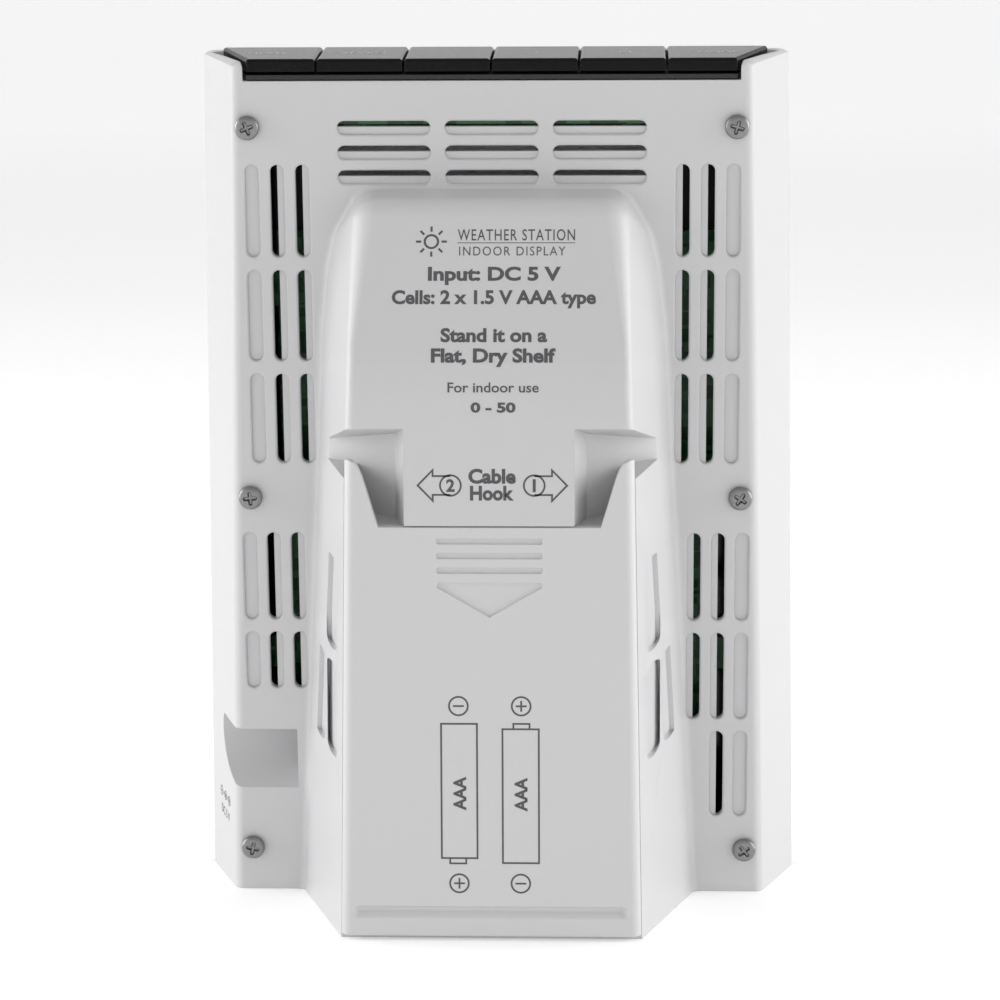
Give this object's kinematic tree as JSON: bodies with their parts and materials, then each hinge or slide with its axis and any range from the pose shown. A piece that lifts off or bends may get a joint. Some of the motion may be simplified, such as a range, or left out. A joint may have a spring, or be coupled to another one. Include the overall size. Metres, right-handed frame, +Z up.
{
  "type": "home weather station",
  "caption": "Portrait desktop weather station with a row of top keys, a vented back, and a rear hump that props it up, hooks its lead and holds cells behind a sliding door.",
  "frame": {"origin": "on the surface it stands on, under the centre of the bounding box", "axes": "+Z up, +Y out of the vented back, -Y towards the reader of the display, +X to the side with the power inlet"},
  "size_m": [0.1446, 0.072, 0.2033],
  "materials": {
    "case_white": "fine spark-eroded texture, semi-matte, off-white ABS",
    "door_white": "fine spark-eroded texture, semi-matte, off-white ABS",
    "key_black": "polished black ABS",
    "gloss_black": "polished black ABS",
    "window_clear": "clear polished acrylic",
    "lcd_glass": "dark polarised glass",
    "light_guide": "translucent white acrylic",
    "black_plastic": "plain moulded black ABS",
    "board_green": "solder resist, semi-gloss",
    "ferrite": "pressed grey-black ferrite",
    "copper_wire": "enamelled copper winding",
    "tin_can": "tinned sheet steel",
    "nickel": "nickel-plated spring steel",
    "screw_steel": "zinc-plated steel",
    "cell_jacket": "plain printed foil jacket"
  },
  "bodies": {
    "root": {"rear_case": "case_white", "front_bezel": "gloss_black", "display_window": "window_clear", "lcd_panel": "lcd_glass", "backlight_guide": "light_guide", "lcd_frame": "black_plastic", "key_carrier": "black_plastic", "key_board": "board_green", "main_board": "board_green", "dc_jack": "black_plastic", "antenna_rod": "ferrite", "antenna_coil": "copper_wire", "antenna_holder_left": "black_plastic", "antenna_holder_right": "black_plastic", "buzzer": "black_plastic", "radio_module": "tin_can", "processor_chip": "black_plastic", "battery_1": "cell_jacket", "battery_2": "cell_jacket", "battery_spring_1": "nickel", "battery_spring_2": "nickel", "contact_plate_1": "nickel", "contact_plate_2": "nickel", "switch_1": "tin_can", "case_screw_1": "screw_steel", "switch_2": "tin_can", "case_screw_2": "screw_steel", "switch_3": "tin_can", "case_screw_3": "screw_steel", "switch_4": "tin_can", "case_screw_4": "screw_steel", "switch_5": "tin_can", "case_screw_5": "screw_steel", "switch_6": "tin_can", "case_screw_6": "screw_steel", "board_screw_1": "screw_steel", "board_screw_2": "screw_steel", "board_screw_3": "screw_steel", "board_screw_4": "screw_steel"},
    "battery_door": {"battery_door": "door_white"},
    "key_1": {"button_1": "key_black", "switch_plunger_1": "black_plastic"},
    "key_2": {"button_2": "key_black", "switch_plunger_2": "black_plastic"},
    "key_3": {"button_3": "key_black", "switch_plunger_3": "black_plastic"},
    "key_4": {"button_4": "key_black", "switch_plunger_4": "black_plastic"},
    "key_5": {"button_5": "key_black", "switch_plunger_5": "black_plastic"},
    "key_6": {"button_6": "key_black", "switch_plunger_6": "black_plastic"}
  },
  "joints": [
    {"name": "battery_door_slide", "type": "slide", "parent": "root", "child": "battery_door", "axis": [0, 0, -1], "range_m": [0, 0.015]},
    {"name": "key_1_press", "type": "slide", "parent": "root", "child": "key_1", "axis": [0, -0.1132, -0.9936], "range_m": [0, 0.0005], "stiffness_N_per_m": 1500},
    {"name": "key_2_press", "type": "slide", "parent": "root", "child": "key_2", "axis": [0, -0.1132, -0.9936], "range_m": [0, 0.0005], "stiffness_N_per_m": 1500},
    {"name": "key_3_press", "type": "slide", "parent": "root", "child": "key_3", "axis": [0, -0.1132, -0.9936], "range_m": [0, 0.0005], "stiffness_N_per_m": 1500},
    {"name": "key_4_press", "type": "slide", "parent": "root", "child": "key_4", "axis": [0, -0.1132, -0.9936], "range_m": [0, 0.0005], "stiffness_N_per_m": 1500},
    {"name": "key_5_press", "type": "slide", "parent": "root", "child": "key_5", "axis": [0, -0.1132, -0.9936], "range_m": [0, 0.0005], "stiffness_N_per_m": 1500},
    {"name": "key_6_press", "type": "slide", "parent": "root", "child": "key_6", "axis": [0, -0.1132, -0.9936], "range_m": [0, 0.0005], "stiffness_N_per_m": 1500}
  ]
}
